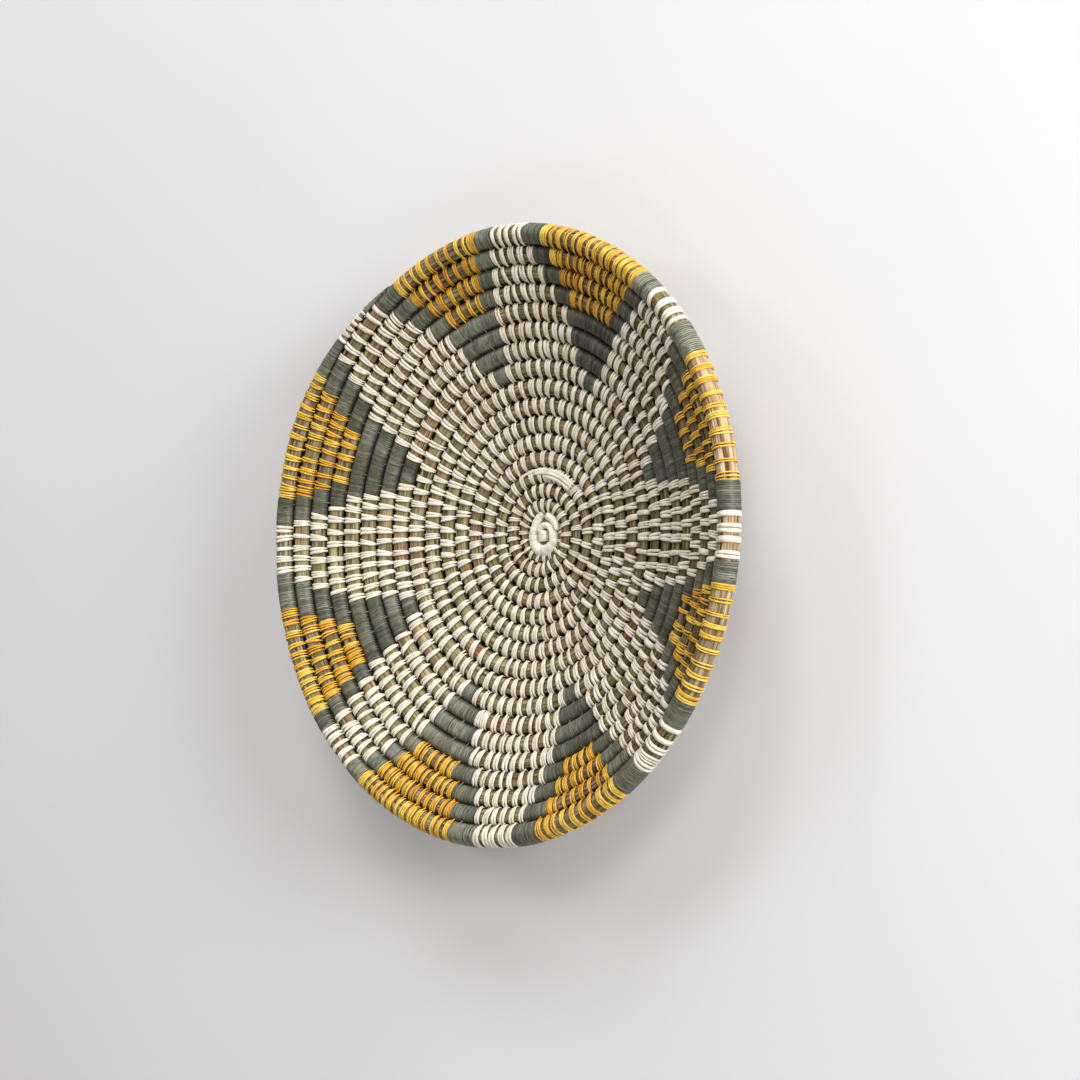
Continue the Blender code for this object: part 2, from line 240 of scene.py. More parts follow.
# Grass, from the dark between the blades to their pale ribs
GRASS_STOPS = (0.38, 0.50, 0.62)
OLIVE = ((0.045, 0.038, 0.015), (0.242, 0.208, 0.096), (0.500, 0.445, 0.245))
BROWN = ((0.042, 0.027, 0.015), (0.240, 0.170, 0.096), (0.490, 0.385, 0.235))
ASHEN = ((0.040, 0.032, 0.022), (0.200, 0.167, 0.118), (0.440, 0.378, 0.285))
STRAW_STOPS = (0.37, 0.50, 0.62)
STRAW = ((0.100, 0.050, 0.028), (0.450, 0.295, 0.165), (0.840, 0.690, 0.490))
# Strips: tints from dark to light, fibre lines, the painted shade at a strand's edges, and where the
# painted groove shade starts and its darkest colour
STRIPS = {
    "white": {"dark": (0.80, 0.71, 0.59), "plain": (0.93, 0.87, 0.77), "light": (0.96, 0.92, 0.85),
              "fibre": (0.80, 0.74, 0.64), "edge": (0.84, 0.79, 0.71), "roughness": 0.46, "gloss": 0.35,
              "groove_start": 0.80, "groove_shade": (0.07, 0.050, 0.028)},
    "grey": {"dark": (0.040, 0.041, 0.028), "plain": (0.150, 0.153, 0.106), "light": (0.365, 0.366, 0.272),
             "fibre": (0.40, 0.40, 0.38), "edge": (0.42, 0.42, 0.38), "roughness": 0.46, "gloss": 0.4,
             "groove_start": 0.55, "groove_shade": (0.06, 0.055, 0.034)},
    "yellow": {"dark": (0.58, 0.250, 0.008), "plain": (0.88, 0.500, 0.020), "light": (0.96, 0.75, 0.120),
               "fibre": (0.70, 0.52, 0.30), "edge": (0.72, 0.56, 0.38), "roughness": 0.40, "gloss": 0.5,
               "groove_start": 0.80, "groove_shade": (0.10, 0.045, 0.010)},
}

chance = np.random.default_rng(SEED)


# Nodes

class Field:
    """A value or a geometry in a node tree. Sums and products with it add nodes to the tree."""

    def __init__(self, tree, socket):
        self.tree = tree
        self.socket = socket

    def __add__(self, other):
        return reckoned("ADD", self, other)

    def __sub__(self, other):
        return reckoned("SUBTRACT", self, other)

    def __rsub__(self, other):
        return reckoned("SUBTRACT", other, self)

    def __mul__(self, other):
        return reckoned("MULTIPLY", self, other)

    def __truediv__(self, other):
        return reckoned("DIVIDE", self, other)

    def __abs__(self):
        return reckoned("ABSOLUTE", self)


def add_node(tree, kind, feeds, **settings):
    """Adds a node. A feed that is a field is linked to its input, any other is its value."""
    node = tree.nodes.new(kind)
    for name, value in settings.items():
        setattr(node, name, value)
    for key, value in feeds.items():
        if isinstance(value, Field):
            tree.links.new(value.socket, node.inputs[key])
        else:
            node.inputs[key].default_value = value
    return node


def add(tree, kind, feeds=None, output=0, **settings):
    """Adds a node and returns one of its outputs."""
    return Field(tree, add_node(tree, kind, feeds or {}, **settings).outputs[output])


def link(field, node, key):
    field.tree.links.new(field.socket, node.inputs[key])


def reckoned(operation, *values):
    """The outcome of a maths node, or of a vector maths node where a value is a vector."""
    fields = [value for value in values if isinstance(value, Field)]
    tree = fields[0].tree
    if all(field.socket.type != "VECTOR" for field in fields):
        return add(tree, "ShaderNodeMath", dict(enumerate(values)), operation=operation)
    if operation == "MULTIPLY" and not isinstance(values[1], tuple):
        feeds = {0: values[0], "Scale": values[1]}
        return add(tree, "ShaderNodeVectorMath", feeds, operation="SCALE")
    return add(tree, "ShaderNodeVectorMath", dict(enumerate(values)), operation=operation)


def parts_of(vector):
    node = add_node(vector.tree, "ShaderNodeSeparateXYZ", {0: vector})
    return [Field(vector.tree, socket) for socket in node.outputs]


def joined(tree, *parts):
    return add(tree, "ShaderNodeCombineXYZ", dict(enumerate(parts)))


def cloud(vector, scale, detail):
    feeds = {"Vector": vector, "Scale": scale, "Detail": detail}
    return add(vector.tree, "ShaderNodeTexNoise", feeds)


def streaks(vector, scales, detail):
    """Noise drawn out along the axes of a vector."""
    return cloud(vector * scales, 1.0, detail)


def named(tree, name, kind="FLOAT"):
    return add(tree, "GeometryNodeInputNamedAttribute", {"Name": name}, data_type=kind)


def captured(geometry, name, value, kind="FLOAT"):
    """Keeps a value on the points, so that it goes with them, and returns both."""
    node = add_node(geometry.tree, "GeometryNodeCaptureAttribute", {})
    node.capture_items.new(kind, name)
    link(geometry, node, 0)
    link(value, node, 1)
    return Field(geometry.tree, node.outputs[0]), Field(geometry.tree, node.outputs[1])


def stored(geometry, name, value, kind="FLOAT"):
    feeds = {"Geometry": geometry, "Name": name, "Value": value}
    return add(geometry.tree, "GeometryNodeStoreNamedAttribute", feeds, data_type=kind, domain="POINT")


def new_tree(name, inputs):
    """A geometry tree with named inputs, and a field for each of them."""
    tree = bpy.data.node_groups.new(name, "GeometryNodeTree")
    tree.is_modifier = True
    for label, kind in {"Geometry": "Geometry", **inputs}.items():
        tree.interface.new_socket(name=label, in_out="INPUT", socket_type="NodeSocket" + kind)
    tree.interface.new_socket(name="Geometry", in_out="OUTPUT", socket_type="NodeSocketGeometry")
    given = tree.nodes.new("NodeGroupInput")
    return tree, {socket.name: Field(tree, socket) for socket in given.outputs if socket.name}


def finished(geometry, material):
    """Smooth faces, plain geometry and its material: the end of each tree, which it returns."""
    tree = geometry.tree
    smooth = add(tree, "GeometryNodeSetShadeSmooth", {0: geometry})
    whole = add(tree, "GeometryNodeRealizeInstances", {0: smooth})
    painted = add(tree, "GeometryNodeSetMaterial", {"Geometry": whole, "Material": material})
    link(painted, tree.nodes.new("NodeGroupOutput"), 0)
    return tree


def squared(wave):
    """A sine or cosine drawn out, because each row is pressed a little square by the next."""
    return reckoned("SIGN", wave) * reckoned("POWER", abs(wave), SQUARENESS)


def laid_round_bundle(middle, angle, lift, reach, shift):
    """The place of a point round the bundle: its angle there, its height above the grass, how
    far it reaches aside and its shift along the coil. What would reach into the wall is pressed
    flat before it."""
    tree = middle.tree
    outward = named(tree, "outward", "FLOAT_VECTOR")
    front = named(tree, "front", "FLOAT_VECTOR")
    along = reckoned("CROSS_PRODUCT", outward, front)
    across = squared(reckoned("COSINE", angle)) * (named(tree, "wide") + lift + reach)
    forward = squared(reckoned("SINE", angle)) * (named(tree, "deep") + lift)
    x, y, z = parts_of(middle + outward * across + front * forward + along * shift)
    beyond = reckoned("MAXIMUM", y + WALL_SOFTNESS, 0.0)
    limit = reckoned("EXPONENT", beyond / -WALL_SOFTNESS) * -WALL_SOFTNESS
    return joined(tree, x, reckoned("MINIMUM", y, limit), z)


def groove_depth(angle, outer_share=1.0):
    """How near a point lies to the next row, which sets its painted groove shade: one where two rows
    touch, less towards the front. The rim's outer side has no row beside it."""
    side = squared(reckoned("COSINE", angle))
    return reckoned("MAXIMUM", side * -1.0, side * (named(angle.tree, "enclosed") * outer_share))


def grass_tree():
    """Sweeps the bundle along its route, with a rib for each blade of grass."""
    tree, given = new_tree("Bundle of grass", {"Blades": "Int", "Blade depth": "Float", "Wander": "Float",
                                               "Sink": "Float", "Material": "Material"})
    route = add(tree, "GeometryNodeMeshToCurve", {0: given["Geometry"]})
    route, middle = captured(route, "middle", add(tree, "GeometryNodeInputPosition"), "VECTOR")
    ring = add(tree, "GeometryNodeCurvePrimitiveCircle", {"Resolution": given["Blades"] * 2.0})
    share = add(tree, "GeometryNodeSplineParameter", output="Factor")
    ring, angle = captured(ring, "angle", share * math.tau)
    tube = add(tree, "GeometryNodeCurveToMesh", {"Curve": route, "Profile Curve": ring, "Fill Caps": True})
    wide = named(tree, "wide")
    sine = reckoned("SINE", angle)
    laid = joined(tree, named(tree, "length"), reckoned("COSINE", angle) * wide, sine * named(tree, "deep"))
    tube = stored(tube, "laid", laid, "FLOAT_VECTOR")
    # Painted shade towards the next row, which comes sooner on the grass's outer flank
    tube = stored(tube, "groove", groove_depth(angle, GRASS_OUTER_SHADE))
    rib = (reckoned("COSINE", angle * given["Blades"]) - 1.0) * given["Blade depth"] * wide
    wander = (streaks(laid, WANDER_STREAKS, 1.0) - 0.5) * given["Wander"]
    lift = rib + wander * 2.0 - sine * sine * given["Sink"]
    place = laid_round_bundle(middle, angle, lift, 0.0, 0.0)
    tube = add(tree, "GeometryNodeSetPosition", {"Geometry": tube, "Position": place})
    return finished(tube, given["Material"])


def winding_tree():
    """Lays a closed strand round the bundle at each point, with a tip into the row before."""
    tree, given = new_tree("Wound strands", {"Points round": "Int", "Thickness": "Float",
                                             "Sharp above": "Float", "Material": "Material"})
    position = add(tree, "GeometryNodeInputPosition")
    points, middle = captured(given["Geometry"], "middle", position, "VECTOR")
    path = add(tree, "GeometryNodeCurvePrimitiveCircle", {"Resolution": given["Points round"]})
    section = add(tree, "GeometryNodeCurvePrimitiveQuadrilateral", {"Width": 1.0, "Height": 1.0})
    strand = add(tree, "GeometryNodeCurveToMesh", {"Curve": path, "Profile Curve": section})
    x, y, z = parts_of(position)
    above = reckoned("SQRT", x * x + y * y) - 1.0
    strand, angle = captured(strand, "angle", reckoned("ARCTAN2", y, x))
    strand, height = captured(strand, "height", above)
    narrower_top = (1.0 + STRAND_TOP) / 2.0 - above * (1.0 - STRAND_TOP)
    strand, side = captured(strand, "side", z * narrower_top)
    laid = add(tree, "GeometryNodeInstanceOnPoints", {"Points": points, "Instance": strand})
    laid = add(tree, "GeometryNodeRealizeInstances", {0: laid})
    tip = reckoned("MAXIMUM", 1.0 - abs(abs(angle) - TIP_ANGLE) / TIP_SPREAD, 0.0)
    lift = height * given["Thickness"] + named(tree, "lift")
    reach = tip * named(tree, "tip")
    breadth = side * named(tree, "strip") * (1.0 - tip * TIP_NARROWING)
    inward = (1.0 - reckoned("COSINE", angle)) * 0.5
    outer_shift = named(tree, "outer_shift")
    shift = outer_shift + (named(tree, "inner_shift") - outer_shift) * inward + breadth
    place = laid_round_bundle(middle, angle, lift, reach, shift)
    laid = add(tree, "GeometryNodeSetPosition", {"Geometry": laid, "Position": place})
    spot = joined(tree, breadth, angle * named(tree, "wide"), named(tree, "tint"))
    laid = stored(laid, "laid", spot, "FLOAT_VECTOR")
    # Painted shade: darker towards the next row, less so on a tip, and darker at a strand's lower edge,
    # where it lies on the grass
    shaded = groove_depth(angle) * (1.0 - reach / TIP)
    laid = stored(laid, "groove", reckoned("MAXIMUM", shaded, height * (-2.0 * EDGE_SHADE)))
    laid = stored(laid, "across", side)
    bend = add(tree, "GeometryNodeInputMeshEdgeAngle", output="Unsigned Angle")
    corner = add(tree, "FunctionNodeCompare", {0: bend, 1: given["Sharp above"]}, operation="GREATER_THAN")
    feeds = {"Geometry": laid, "Selection": corner, "Shade Smooth": False}
    laid = add(tree, "GeometryNodeSetShadeSmooth", feeds, domain="EDGE")
    return finished(laid, given["Material"])


# Materials

def new_material(name, roughness, gloss):
    material = bpy.data.materials.new(name)
    material.use_nodes = True
    shader = material.node_tree.nodes["Principled BSDF"]
    shader.inputs["Roughness"].default_value = roughness
    shader.inputs["Specular IOR Level"].default_value = gloss
    return material, material.node_tree, shader


def attribute(tree, name, output="Fac"):
    return add(tree, "ShaderNodeAttribute", output=output, attribute_name=name)


def ramp(factor, *stops):
    node = add_node(factor.tree, "ShaderNodeValToRGB", {0: factor})
    elements = node.color_ramp.elements
    while len(elements) < len(stops):
        elements.new(0.5)
    for element, (position, colour) in zip(elements, stops):
        element.position = position
        element.color = (*colour, 1.0)
    return Field(factor.tree, node.outputs[0])


def mixed(tree, factor, first, second, blend="MIX"):
    """A mix of two colours, which the node takes as inputs 6 and 7 and gives as output 2."""
    feeds = {0: factor}
    for key, value in ((6, first), (7, second)):
        feeds[key] = value if isinstance(value, Field) else (*value, 1.0)
    return add(tree, "ShaderNodeMix", feeds, output=2, data_type="RGBA", blend_type=blend)


def shaded_by(colour, shade):
    return mixed(colour.tree, 1.0, colour, shade, "MULTIPLY")


def paint_groove_shade(shader, colour, start, groove_shade):
    """Paints shade into a surface's colour towards the groove between two rows, and dulls it there."""
    depth = attribute(colour.tree, "groove")
    half = [(1.0 + part) / 2.0 for part in groove_shade]
    halfway = (1.0 - GROOVE_HALF) * start + GROOVE_HALF * GROOVE_END
    shade = ramp(depth, (start, FULL), (halfway, half), (GROOVE_END, groove_shade))
    link(shaded_by(colour, shade), shader, "Base Color")
    feeds = {0: depth, 1: start, 2: GROOVE_END, 3: shader.inputs["Roughness"].default_value, 4: 1.0}
    link(add(colour.tree, "ShaderNodeMapRange", feeds), shader, "Roughness")


def roughened(shader, height, strength, distance):
    feeds = {"Strength": strength, "Distance": distance, "Height": height}
    link(add(height.tree, "ShaderNodeBump", feeds), shader, "Normal")


def strip_material(name, dark, plain, light, fibre, edge, roughness, gloss, groove_start, groove_shade):
    """A dyed strip: each strand has its own tint and painted shade at its edges, fine fibres run along
    it, the dye is uneven, and shade is painted towards the groove between rows."""
    material, tree, shader = new_material(name, roughness, gloss)
    shade = ramp(attribute(tree, "tint"), (0.0, dark), (0.45, plain), (1.0, light))
    fine = streaks(attribute(tree, "laid", "Vector"), FIBRE_STREAKS, 2.0)
    colour = shaded_by(shade, ramp(fine, (0.36, fibre), (0.52, FULL)))
    # Painted shade at each strand's edges, where it rounds off beside its neighbour
    colour = shaded_by(colour, ramp(abs(attribute(tree, "across")), (0.24, FULL), (0.37, edge)))
    place = add(tree, "ShaderNodeTexCoord", output="Object")
    colour = shaded_by(colour, ramp(cloud(place, DYE_CLOUDS, 3.0), (0.36, WORN), (0.58, FULL)))
    paint_groove_shade(shader, colour, groove_start, groove_shade)
    roughened(shader, fine, 0.5, 0.00015)
    return material


def grass_material():
    """Dry seagrass: blades of olive and brown that run along the bundle, with shade painted dark between
    them.
    """
    material, tree, shader = new_material("dry_seagrass_blades", 0.80, 0.0)
    laid = attribute(tree, "laid", "Vector")
    length, across, forward = parts_of(laid)
    drift = streaks(laid, DRIFT_STREAKS, 1.0)
    blade = reckoned("ARCTAN2", forward, across) * (BLADES / math.tau) + drift * BLADE_DRIFT
    number = reckoned("FLOOR", blade)
    own = cloud(joined(tree, number, length * OWN_TONE_STREAK, number * OWN_TONE_JUMP), 1.0, 2.0)
    fibre = streaks(laid, BLADE_STREAKS, 3.0)
    patch = streaks(laid, PATCH_STREAKS, 2.0)
    tone = own * 0.36 + fibre * 0.30 + streaks(laid, BROAD_STREAKS, 2.0) * 0.34
    olive, brown, ashen = (ramp(tone, *zip(GRASS_STOPS, colours)) for colours in (OLIVE, BROWN, ASHEN))
    is_brown = ramp(patch, (0.48, NONE), (0.54, FULL))
    is_ashen = ramp(patch, (0.36, FULL), (0.43, NONE))
    colour = mixed(tree, is_ashen, mixed(tree, is_brown, olive, brown), ashen)
    colour = shaded_by(colour, ramp(patch, (0.68, FULL), (0.72, REDDISH)))
    colour = mixed(tree, attribute(tree, "straw"), colour, ramp(tone, *zip(STRAW_STOPS, STRAW)))
    # Painted shade in the valleys between the blades
    off_middle = abs(reckoned("FRACT", blade) - 0.5)
    colour = shaded_by(colour, ramp(off_middle + fibre * 0.20, (0.50, FULL), (0.62, BLADE_EDGE_SHADE)))
    # Painted shade at the bowl's right, and painted light towards its left and towards the rim's palest
    # place
    colour = shaded_by(colour, mixed(tree, attribute(tree, "painted_light"), PAINTED_SHADE_TONE, PAINTED_LIGHT_TONE))
    paint_groove_shade(shader, colour, GRASS_GROOVE_START, GRASS_GROOVE_SHADE)
    roughened(shader, tone, 0.8, 0.0004)
    return material


# The coil

def row_width(turn):
    return FIRST_ROW + (FULL_ROW - FIRST_ROW) * np.clip(turn / GROWING_TURNS, 0.0, 1.0)


def fullness(turn):
    """Share of the full bundle: less than one in the start's and the tail's taper."""
    start = np.clip(1.0 + turn, START_SHARE, 1.0)
    gone = np.clip(1.0 - (TURNS - turn) * 360.0 / TAIL_DEGREES, 0.0, 1.0)
    return start * (1.0 - (1.0 - TAIL_SHARE) * gone ** TAIL_POWER)


def row_distance(turn):
    """Distance of the bundle's middle from the bowl's middle, measured along the bowl."""
    grown = np.clip(turn, 0.0, GROWING_TURNS)
    inner = (KNOT_RADIUS + (FIRST_ROW + row_width(grown)) / 2.0 * grown
             + FULL_ROW * np.maximum(turn - GROWING_TURNS, 0.0))
    return inner + fullness(turn) * row_width(turn) / 2.0


RIM_DISTANCE = float(row_distance(TURNS - 1.0)) + FULL_ROW


def slope(distance):
    return math.radians(RIM_SLOPE) * (distance / RIM_DISTANCE) ** SLOPE_POWER


def bowl_profile():
    distances = np.linspace(0.0, RIM_DISTANCE + FULL_ROW, PROFILE_STEPS)
    slopes = slope((distances[1:] + distances[:-1]) / 2.0)
    steps = np.diff(distances)
    radii = np.concatenate([[0.0], np.cumsum(np.cos(slopes) * steps)])
    heights = np.concatenate([[0.0], np.cumsum(np.sin(slopes) * steps)])
    return distances, radii, heights


PROFILE = bowl_profile()


def on_coil(turns):
    """Where the bundle lies at some turns: its middles, its directions and its half widths."""
    turns = np.asarray(turns, float)
    distance = row_distance(turns)
    radius = np.interp(distance, PROFILE[0], PROFILE[1])
    height = np.interp(distance, PROFILE[0], PROFILE[2])
    angle = np.radians(END_ANGLE + 360.0 * (TURNS - turns))
    tilt = slope(distance)
    radial = np.stack([np.cos(angle), np.zeros_like(angle), np.sin(angle)], 1)
    forward = np.array([[0.0, -1.0, 0.0]])
    cosine = np.cos(tilt)[:, None]
    sine = np.sin(tilt)[:, None]
    wide = fullness(turns) * row_width(turns) / 2.0 - ROW_SPARE
    return {
        "enclosed": (turns < TURNS - 1.0).astype(float),
        "middle": radial * radius[:, None] + forward * (MIDDLE_HEIGHT + height)[:, None],
        "outward": radial * cosine + forward * sine,
        "front": forward * cosine - radial * sine,
        "wide": wide,
        "deep": wide * DEPTH_SHARE,
    }


def turn_at(row, degrees):
    return TURNS - (row + (degrees - END_ANGLE) / 360.0)


def turn_length(turn):
    """Length of one turn of the coil at a turn."""
    return math.tau * float(np.interp(row_distance(turn), PROFILE[0], PROFILE[1]))


def degrees_of(turn):
    return (END_ANGLE + 360.0 * (TURNS - turn)) % 360.0


def degrees_apart(first, second):
    return abs((first - second + 180.0) % 360.0 - 180.0)


# Making pieces

WORKING_VALUES = ("outward", "front", "wide", "deep", "enclosed", "strip", "outer_shift", "inner_shift",
                  "tip", "lift", "length")


def point_cloud(name, places, values):
    """A mesh of points alone, with named values on them."""
    data = bpy.data.meshes.new(name)
    data.vertices.add(len(places["middle"]))
    data.vertices.foreach_set("co", places["middle"].astype(np.float32).ravel())
    for key, numbers in {**places, **values}.items():
        if key == "middle":
            continue
        numbers = np.asarray(numbers, np.float32)
        kind, part = ("FLOAT_VECTOR", "vector") if numbers.ndim == 2 else ("FLOAT", "value")
        data.attributes.new(key, kind, "POINT").data.foreach_set(part, numbers.ravel())
    return data


def shown(name, data):
    item = bpy.data.objects.new(name, data)
    bpy.context.scene.collection.objects.link(item)
    return item


def grown(item, tree, settings):
    """Runs a tree on an object and leaves the result as the object's plain mesh."""
    modifier = item.modifiers.new(tree.name, "NODES")
    modifier.node_group = tree
    for socket in tree.interface.items_tree:
        if socket.in_out == "INPUT" and socket.name in settings:
            modifier[socket.identifier] = settings[socket.name]
    graph = bpy.context.evaluated_depsgraph_get()
    graph.update()
    data = bpy.data.meshes.new_from_object(item.evaluated_get(graph), preserve_all_data_layers=True,
                                           depsgraph=graph)
    item.modifiers.clear()
    item.data = data
    data.materials.clear()
    data.materials.append(settings["Material"])
    for key in WORKING_VALUES:
        if key in data.attributes:
            data.attributes.remove(data.attributes[key])
    return item


def dress(item, slot, *nodes):
    """Puts a piece on the basket in place of its nodes."""
    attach(item, "root")
    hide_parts(*nodes)


def grass_tones(turns, across):
    """How straw-coloured the grass is, and how much painted light its colour gets. Some of it is straw
    under the yellow, most of all on the rim at the right. Its colour has painted shade at the bowl's
    right and painted light towards its left, less of it under the yellow, and on the rim painted
    light towards the palest place."""
    from_palest = degrees_apart(degrees_of(turns), PALEST_ANGLE)
    pale = np.clip(PALEST_SHARE - from_palest / PALEST_REACH, STRAW_LEAST, 1.0)
    on_rim = turns > TURNS - 1.0
    straw = np.zeros(len(turns))
    painted_light = np.clip(PAINTED_LIGHT_IN_MIDDLE - PAINTED_LIGHT_ACROSS * across, 0.0, 1.0)
    for start, end, colour, petal in coloured_spans():
        if colour == "yellow":
            under = (turns > start) & (turns < end)
            straw[under] = np.where(on_rim[under], pale[under], STRAW_INSIDE)
            painted_light[under] = np.minimum(painted_light[under], PAINTED_LIGHT_UNDER_YELLOW)
    in_right_ray = (turns > turn_at(0, RIGHT_UPPER[1])) & (turns < turn_at(0, RIGHT_LOWER[2]))
    straw[in_right_ray] = STRAW_IN_RAY
    painted_light[on_rim] = np.maximum(painted_light[on_rim], pale[on_rim])
    return {"straw": straw, "painted_light": painted_light}


def make_grass(tree, material):
    """The bundle of grass in one length, from its thin start beside the knot to the tail."""
    turns = [START_SHARE - 1.0]
    while turns[-1] < TURNS:
        reach = np.clip(turns[-1] / GROWING_TURNS, 0.0, 1.0)
        step = FINE_STEP + (COARSE_STEP - FINE_STEP) * reach
        turns.append(turns[-1] + step / turn_length(turns[-1]))
    turns[-1] = TURNS
    turns = np.array(turns)
    places = on_coil(turns)
    steps = np.linalg.norm(np.diff(places["middle"], axis=0), axis=1)
    values = grass_tones(turns, places["middle"][:, 0] / RIM_DISTANCE)
    values["length"] = np.concatenate([[0.0], np.cumsum(steps)])
    data = point_cloud("grass_bundle", places, values)
    data.edges.add(len(turns) - 1)
    pairs = np.stack([np.arange(len(turns) - 1), np.arange(1, len(turns))], 1)
    data.edges.foreach_set("vertices", pairs.ravel())
    settings = {"Blades": BLADES, "Blade depth": BLADE_DEPTH, "Wander": BLADE_WANDER, "Sink": GRASS_SINK,
                "Material": material}
    item = grown(shown("grass_bundle", data), tree, settings)
    dress(item, "dry_seagrass", "seagrass_core")


class Strands:
    """The strands of one piece, each a closed winding with its own width, lean and shade."""

    def __init__(self):
        self.rows = []

    def lay(self, turn, strip, outer_shift=0.0, inner_shift=0.0, tip=0.0, lift=0.0, tint=0.5):
        self.rows.append((turn, strip, outer_shift, inner_shift, tip, lift, tint))

    def make(self, name, tree, material, sharp_above):
        table = np.array(self.rows)
        keys = ("strip", "outer_shift", "inner_shift", "tip", "lift", "tint")
        values = {key: table[:, index + 1] for index, key in enumerate(keys)}
        data = point_cloud(name, on_coil(table[:, 0]), values)
        settings = {"Points round": WINDING_POINTS, "Thickness": STRAND_THICKNESS,
                    "Sharp above": sharp_above, "Material": material}
        return grown(shown(name, data), tree, settings)


def petal_edges(petal, row):
    _, start, end, last_start, last_end, before, after = petal
    first = start + (last_start - start) * START_SHIFT[row]
    last = end + (last_end - end) * END_SHIFT[row]
    return first, last, first + before, last - after


def coloured_spans():
    """Every stretch of grey and yellow winding: its turns, its colour and its petal."""
    spans = [(turn_at(0, END_ANGLE + TAIL_BINDING_ANGLE), TURNS, "grey", "tail")]
    for petal in PETALS:
        for row in range(len(START_SHIFT)):
            first, last, yellow_first, yellow_last = petal_edges(petal, row)
            parts = [(first, last, "grey")]
            if row < YELLOW_ROWS:
                parts = [(first, yellow_first, "grey"), (yellow_first, yellow_last, "yellow"),
                         (yellow_last, last, "grey")]
            for start, end, colour in parts:
                spans.append((turn_at(row, end), turn_at(row, start), colour, petal[0]))
    return sorted(spans)


def walk(start, end, pitch, width, below):
    """Turns of the stitches from one turn to another. Each falls in line with one of the row
    before, where there is one near, and the first and last fill the ends."""
    length = turn_length((start + end) / 2.0)
    turn = start + width / 2.0 / turn_length(max(start, 0.05))
    last = end - width / 2.0 / turn_length(end)
    turns = [turn]
    while last - turn > pitch(turn) * ROOM_FOR_MORE / turn_length(turn):
        step = pitch(turn) / turn_length(turn)
        if last - turn < EVEN_STEPS * step:
            step = (last - turn) / max(round((last - turn) / step), 1)
        turn += step
        if last - turn < LAST_ROOM * step:
            turns.append(last)
            break
        known = [other for other in below if abs(other + 1.0 - turn) < IN_LINE_REACH * step]
        if known:
            nearest = min(known, key=lambda other: abs(other + 1.0 - turn))
            turn += IN_LINE_PULL * (nearest + 1.0 - turn)
        turn += step * chance.uniform(*UNEVENNESS)
        turns.append(turn)
    return turns


def white_pitch(turn):
    if CLOSE_STRETCH[0] < turn < CLOSE_STRETCH[1]:
        return CLOSE_PITCH
    if turn > TURNS - 1.0:
        return WHITE_PITCH_RIM * (TAIL_PITCH_SHARE + (1.0 - TAIL_PITCH_SHARE) * float(fullness(turn)))
    outside = min(max(turn, 0.0) / INSIDE_TURNS, 1.0)
    return WHITE_PITCH_INSIDE + (WHITE_PITCH - WHITE_PITCH_INSIDE) * outside


def tip_length(turn):
    """Tips are shorter on the small rows near the knot, and on the thin tail."""
    growth = min(max(turn, 0.0) / TIP_TURNS, 1.0)
    return TIP * (TIP_INSIDE + (1.0 - TIP_INSIDE) * growth) * float(fullness(turn))


def lay_white(strands, turn):
    """One white stitch: up to three strands side by side, which meet at the inner edge."""
    size = min(1.0, WHITE_START_SIZE + WHITE_GROWTH * max(turn, 0.0))
    width = WHITE_WIDTH * size * (0.5 + 0.5 * float(fullness(turn))) * chance.uniform(*WHITE_WIDTHS)
    chances = STRAND_CHANCES_RIM if turn > TURNS - 1.0 else STRAND_CHANCES
    count = int(chance.choice((1, 2, 3), p=chances))
    lean = chance.normal(*WHITE_LEAN)
    meeting = chance.uniform(*MEETING)
    shade = chance.uniform(*WHITE_SHADES)
    long_tip = chance.integers(count)
    for index in range(count):
        place = (index - (count - 1) / 2.0) * width / count
        tips = WHITE_LONG_TIPS if index == long_tip else WHITE_SHORT_TIPS
        tip = tip_length(turn) * chance.uniform(*tips)
        strands.lay(turn, width / max(count, LEAST_SHARE) * chance.uniform(*STRAND_WIDTHS),
                    outer_shift=place * OUTER_SPACING - lean, inner_shift=place * meeting + lean,
                    tip=tip, lift=chance.uniform(*WHITE_LIFTS), tint=shade + chance.uniform(*WHITE_TINTS))


def lay_yellow(strands, turn, full, middle_shade, size):
    """One yellow stitch: thin strands close together, which lie less evenly than the white."""
    count = (2 if chance.random() < 0.5 else 3) + (1 if full else 0)
    paler = RIM_PALER_YELLOW if turn > TURNS - 1.0 else 0.0
    shade = middle_shade + chance.uniform(*YELLOW_SHADES) + paler
    long_tip = chance.integers(count) if chance.random() < YELLOW_TIPS else -1
    for index in range(count):
        place = (index - (count - 1) / 2.0) * size * YELLOW_SPACING
        place *= chance.uniform(*YELLOW_SPACINGS)
        lean = chance.normal(0.0, YELLOW_LEAN)
        tips = YELLOW_LONG_TIPS if index == long_tip else YELLOW_SHORT_TIPS
        tip = tip_length(turn) * chance.uniform(*tips)
        strands.lay(turn, size * chance.uniform(*YELLOW_WIDTHS), outer_shift=place - lean,
                    inner_shift=place * chance.uniform(*YELLOW_MEETING) + lean, tip=tip,
                    lift=chance.uniform(*YELLOW_LIFTS), tint=shade + chance.uniform(*YELLOW_TINTS))


def rim_sheen(turn):
    """How much paler the grey is where it lies on the rim: a painted sheen, strong beside the upper right
    ray.
    """
    if turn < TURNS - 1.0:
        return 0.0
    near = degrees_apart(degrees_of(turn), RIM_SHEEN_ANGLE) < RIM_SHEEN_REACH
    return RIM_SHEEN_GREY[0] if near else RIM_SHEEN_GREY[1]


